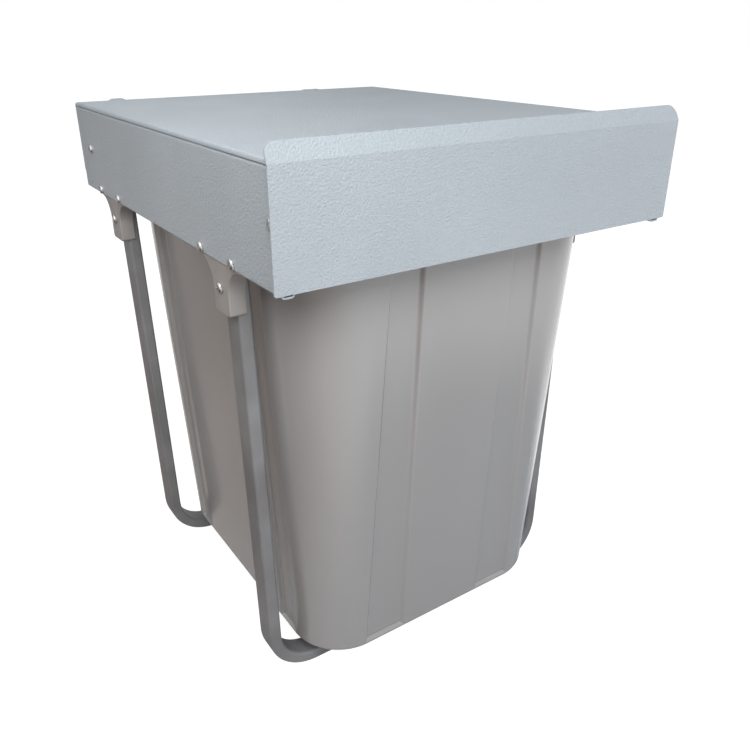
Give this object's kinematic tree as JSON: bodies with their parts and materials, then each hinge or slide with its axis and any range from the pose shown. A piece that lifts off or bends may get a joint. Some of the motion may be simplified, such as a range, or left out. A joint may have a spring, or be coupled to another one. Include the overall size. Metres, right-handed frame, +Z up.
{
  "type": "pull out bin frame",
  "caption": "Drawer-type steel frame that carries a lift-out waste bin under a fixed cover in a kitchen base cabinet.",
  "frame": {"origin": "centre of the bounding box's lowest face, on the floor under the hoops", "axes": "+X to the right seen from the front plate, +Y towards the back of the cabinet, +Z up"},
  "size_m": [0.35, 0.412, 0.4685],
  "materials": {
    "frame_paint": "light blue-grey hammered powder coat, semi-gloss",
    "hoop_paint": "mid grey powder coat, satin",
    "slide_steel": "bright zinc plating",
    "ball_steel": "polished steel",
    "zinc_fasteners": "bright zinc plating",
    "bracket_plastic": "warm grey moulded plastic, fine matt",
    "bin_plastic": "grey moulded plastic, gloss",
    "bumper_rubber": "matt black"
  },
  "bodies": {
    "cover": {"top_cover": "frame_paint", "rear_fixing_plates": "frame_paint", "fixing_plate_rivets": "zinc_fasteners", "left_hanger": "slide_steel", "right_hanger": "slide_steel", "hanger_rivets": "zinc_fasteners", "left_outer_rail": "slide_steel", "right_outer_rail": "slide_steel", "slide_bumpers": "bumper_rubber"},
    "middle_rails": {"left_middle_rail": "slide_steel", "right_middle_rail": "slide_steel"},
    "outer_cages": {"left_outer_cage": "slide_steel", "right_outer_cage": "slide_steel", "left_outer_balls": "ball_steel", "right_outer_balls": "ball_steel"},
    "inner_cages": {"left_inner_cage": "slide_steel", "right_inner_cage": "slide_steel", "left_inner_balls": "ball_steel", "right_inner_balls": "ball_steel"},
    "drawer": {"front_plate": "frame_paint", "left_side_wall": "frame_paint", "right_side_wall": "frame_paint", "rear_cross_bar": "frame_paint", "left_inner_rail": "slide_steel", "right_inner_rail": "slide_steel", "front_left_bracket": "bracket_plastic", "front_right_bracket": "bracket_plastic", "rear_left_bracket": "bracket_plastic", "rear_right_bracket": "bracket_plastic", "front_hoop": "hoop_paint", "rear_hoop": "hoop_paint", "bracket_screws": "zinc_fasteners", "hoop_screws": "zinc_fasteners", "front_corner_screws": "zinc_fasteners", "rear_slide_screws": "zinc_fasteners"},
    "bin": {"bin": "bin_plastic"}
  },
  "joints": [
    {"name": "drawer_slide", "type": "slide", "parent": "cover", "child": "drawer", "axis": [0, -1, 0], "range_m": [0, 0.4]},
    {"name": "middle_slide", "type": "slide", "parent": "cover", "child": "middle_rails", "axis": [0, -1, 0], "range_m": [0, 0.2]},
    {"name": "outer_cage_slide", "type": "slide", "parent": "cover", "child": "outer_cages", "axis": [0, -1, 0], "range_m": [0, 0.1]},
    {"name": "inner_cage_slide", "type": "slide", "parent": "cover", "child": "inner_cages", "axis": [0, -1, 0], "range_m": [0, 0.3]},
    {"name": "bin_lift", "type": "slide", "parent": "drawer", "child": "bin", "axis": [0, 0, 1], "range_m": [0, 0.005]}
  ],
  "couplings": [
    {"joint": "middle_slide", "follows": "drawer_slide", "ratio": 0.5},
    {"joint": "outer_cage_slide", "follows": "drawer_slide", "ratio": 0.25},
    {"joint": "inner_cage_slide", "follows": "drawer_slide", "ratio": 0.75}
  ]
}
